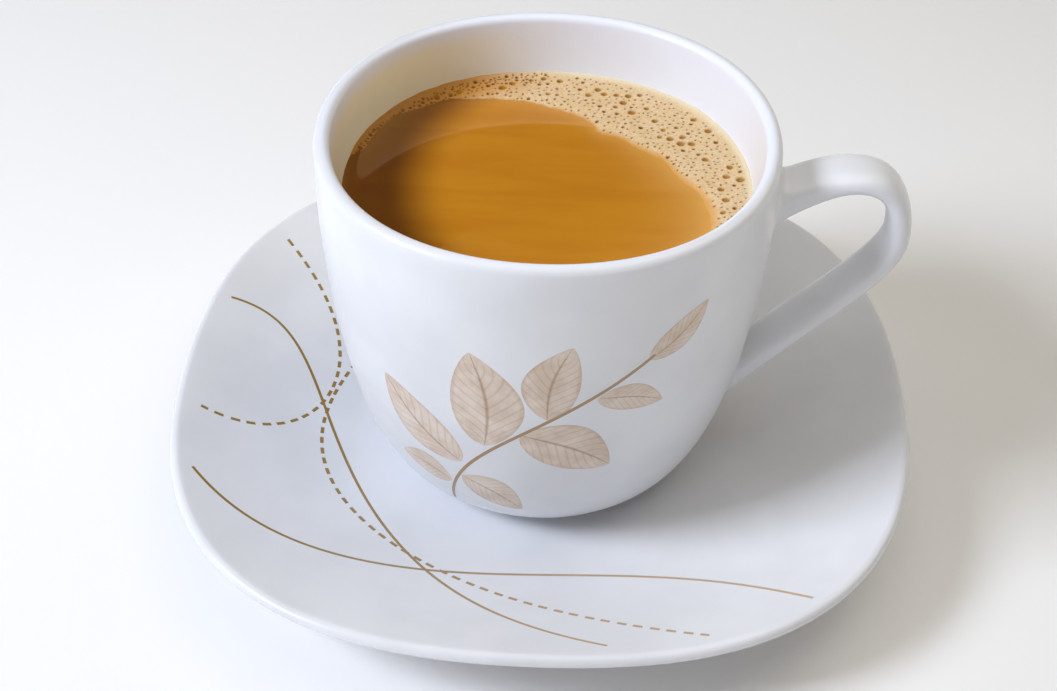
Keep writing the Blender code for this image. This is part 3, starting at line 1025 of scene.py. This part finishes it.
leaves = joinPieces("leafPrint", [makeLeaf(*leaf) for leaf in leafPrint["leaves"]])
fireOn(leaves, cupPiece)
finishPiece(leaves, leafMaterial(), 40)

stemLine = bezierPoints(leafPrint["stem"], 60)
stemPrint = joinPieces("stemPrint", [makeRibbon(stemLine, leafPrint["stemWidth"], printSpot)])
fireOn(stemPrint, cupPiece, layer=2)
finishPiece(stemPrint, linePrintMaterial("firedTanStemPrint", "#9C7C52", "#B29A7C"), 40)
print("leaves printed on the cup")

# Lines on the saucer: plain arcs in mm from its middle, each by its start, two pulls and its end
linePrint = {
    "solid": (
        ((-69, 22), (-40, 28), (-52, -42), (14, -69)),
        ((-67, -30), (-34, -64), (12, -26), (51, -57)),
    ),
    "dashed": (
        ((-60, 44), (-34, 20), (-44, -16), (-69, -12)),
        ((-36, 26), (-64, -24), (-28, -46), (32, -66)),
    ),
    "solidWidth": 0.6,
    "dashWidth": 0.72,
    "dash": 1.8,
    "gap": 1.3,
    "step": 0.2,          # between the points of a dashed line
    "dropFrom": 5,        # above the rim, before a line is dropped
}


def saucerSpot(x, y):
    return Vector((x, y, saucer["height"] + linePrint["dropFrom"])) * mm


def dropOnSaucer(piece):
    fireOn(piece, saucerPiece, wrap_method="PROJECT", use_project_z=True, use_negative_direction=True,
           use_positive_direction=False)
    finishPiece(piece, lineMaterial, 40)


def makeDashes(corners):
    # A whole line first, from which the gaps are then taken out
    rough = bezierPoints(corners, 200)
    length = sum(math.dist(before, after) for before, after in zip(rough, rough[1:]))
    points = spreadEven([Vector(point) for point in rough], round(length / linePrint["step"]) + 1)
    piece = makeRibbon(points, linePrint["dashWidth"], saucerSpot)
    bpy.ops.object.mode_set(mode="EDIT")
    bpy.ops.mesh.select_all(action="DESELECT")
    mesh = bmesh.from_edit_mesh(piece.data)
    pairs = len(points) - 1
    for face in mesh.faces:
        index = face.index % pairs
        face.select = (index * length / pairs) % (linePrint["dash"] + linePrint["gap"]) > linePrint["dash"]
    bmesh.update_edit_mesh(piece.data)
    bpy.ops.mesh.delete(type="FACE")
    bpy.ops.object.mode_set(mode="OBJECT")
    return piece


lineMaterial = linePrintMaterial("firedGoldBrownLine", "#94773C", "#C2A98C")
solidLines = [makeRibbon(bezierPoints(corners, 120), linePrint["solidWidth"], saucerSpot)
              for corners in linePrint["solid"]]
dropOnSaucer(joinPieces("saucerLines", solidLines))
dropOnSaucer(joinPieces("saucerDashes", [makeDashes(corners) for corners in linePrint["dashed"]]))
print("lines printed on the saucer")

# Camera: where the photo was taken from, in mm and degrees
cameraPlace = {
    "spot": (4.96, -246.85, 240.3),
    "turn": -1.83,
    "down": 41.0,
    "roll": 1.02,
    "lens": 54.5,
    "sensor": 36,
}


def placeCamera():
    turn, down, roll = (math.radians(cameraPlace[name]) for name in ("turn", "down", "roll"))
    look = Vector((math.sin(turn) * math.cos(down), math.cos(turn) * math.cos(down), -math.sin(down)))
    right = Vector((math.cos(turn), -math.sin(turn), 0))
    up = right.cross(look)
    leanRight = right * math.cos(roll) + up * math.sin(roll)
    leanUp = up * math.cos(roll) - right * math.sin(roll)
    bpy.ops.object.camera_add(location=[value * mm for value in cameraPlace["spot"]])
    camera = bpy.context.object
    camera.rotation_euler = Matrix((leanRight, leanUp, -look)).transposed().to_euler()
    camera.data.lens = cameraPlace["lens"]
    camera.data.sensor_width = cameraPlace["sensor"]
    camera.data.clip_start = 0.01
    bpy.context.scene.camera = camera


# Studio lamps: turn from the handle and height in degrees, distance and size in metres, watts, colour
lights = {
    "key": (199, 39, 1.0, 0.32, 8.4, "#EAF1FF"),
    "top": (325, 85, 0.45, 0.42, 0.72, "#FAF8F6"),
    "back": (30, 52, 1.3, 0.9, 2.7, "#FFF6E2"),
    "front": (292, 30, 1.4, 0.9, 0.5, "#FFF0DC"),
}
studio = {
    "middle": 40,         # mm above the table, where the lamps point
    # The sky's strength, and its turn from white to warm, by the height of the view
    "skyHigh": {"From_Min": 0.25, "From_Max": 0.7, "To_Min": 0.26, "To_Max": 0.1},
    "skyLow": {"From_Min": 0.03, "From_Max": 0.18, "To_Min": 0.36, "To_Max": 0.0},
    "skyWarms": {"From_Min": 0.03, "From_Max": 0.3},
    "white": "#FBFCFF",
    "warm": "#FFF1DA",
    "floorSize": 6,       # metres
    "floor": "#FAFAFA",
    "floorPatch": "#FDFDFD",
    "floorGlow": {"From_Min": 0.25, "From_Max": 1.3, "To_Min": 0.0, "To_Max": 0.48},    # by metres out
}


def hangLights():
    middle = Vector((0, 0, studio["middle"] * mm))
    for name, (turn, height, distance, size, watts, color) in lights.items():
        turn, height = math.radians(turn), math.radians(height)
        flat = math.cos(height)
        toLight = Vector((math.cos(turn) * flat, math.sin(turn) * flat, math.sin(height)))
        bpy.ops.object.light_add(type="AREA", location=middle + toLight * distance,
                                 rotation=toLight.to_track_quat("Z", "Y").to_euler())
        lamp = bpy.context.object
        lamp.name = name + "Light"
        lamp.data.size = size
        lamp.data.energy = watts
        lamp.data.color = toLinear(color)[:3]


def paintSky():
    # Dim and warm overhead, white and brighter low down, where the floor ends
    world = bpy.data.worlds.new("studio")
    world.use_nodes = True
    sky = world.node_tree
    level = addNode(sky, "SeparateXYZ", Vector=addNode(sky, "TexCoord")).outputs["Z"]
    high = addNode(sky, "MapRange", Value=level, **studio["skyHigh"])
    low = addNode(sky, "MapRange", Value=level, **studio["skyLow"])
    strength = addNode(sky, "Math", {"operation": "ADD"}, i0=high, i1=low)
    share = addNode(sky, "MapRange", softStep, Value=level, **studio["skyWarms"])
    color = addNode(sky, "Mix", colorMix, i0=share, i6=studio["white"], i7=studio["warm"])
    plugIn(sky, sky.nodes["Background"], Color=color, Strength=strength)
    bpy.context.scene.world = world
    bpy.context.scene.view_settings.view_transform = "Standard"
    bpy.context.scene.view_settings.look = "None"


# Painted board: matt off-white, evenly rolled, lit from below towards its far edge
def layFloor():
    deselectAll()
    bpy.ops.mesh.primitive_plane_add(size=studio["floorSize"])
    floor = bpy.context.object
    floor.name = "floor"
    material, tree, shader = newMaterial("paleFloor", Roughness=0.8, Emission_Color=studio["white"])
    place = addNode(tree, "TexCoord").outputs["Object"]
    patches = addNode(tree, "TexNoise", Vector=place, Scale=6.0)
    body = addNode(tree, "Mix", colorMix, i0=patches, i6=studio["floor"], i7=studio["floorPatch"])
    away = addNode(tree, "VectorMath", {"operation": "LENGTH"}, i0=place)
    glow = addNode(tree, "MapRange", Value=away, **studio["floorGlow"])
    plugIn(tree, shader, Base_Color=body, Emission_Strength=glow)
    floor.data.materials.append(material)


placeCamera()
hangLights()
paintSky()
layFloor()
print("camera and studio placed")

deselectAll()
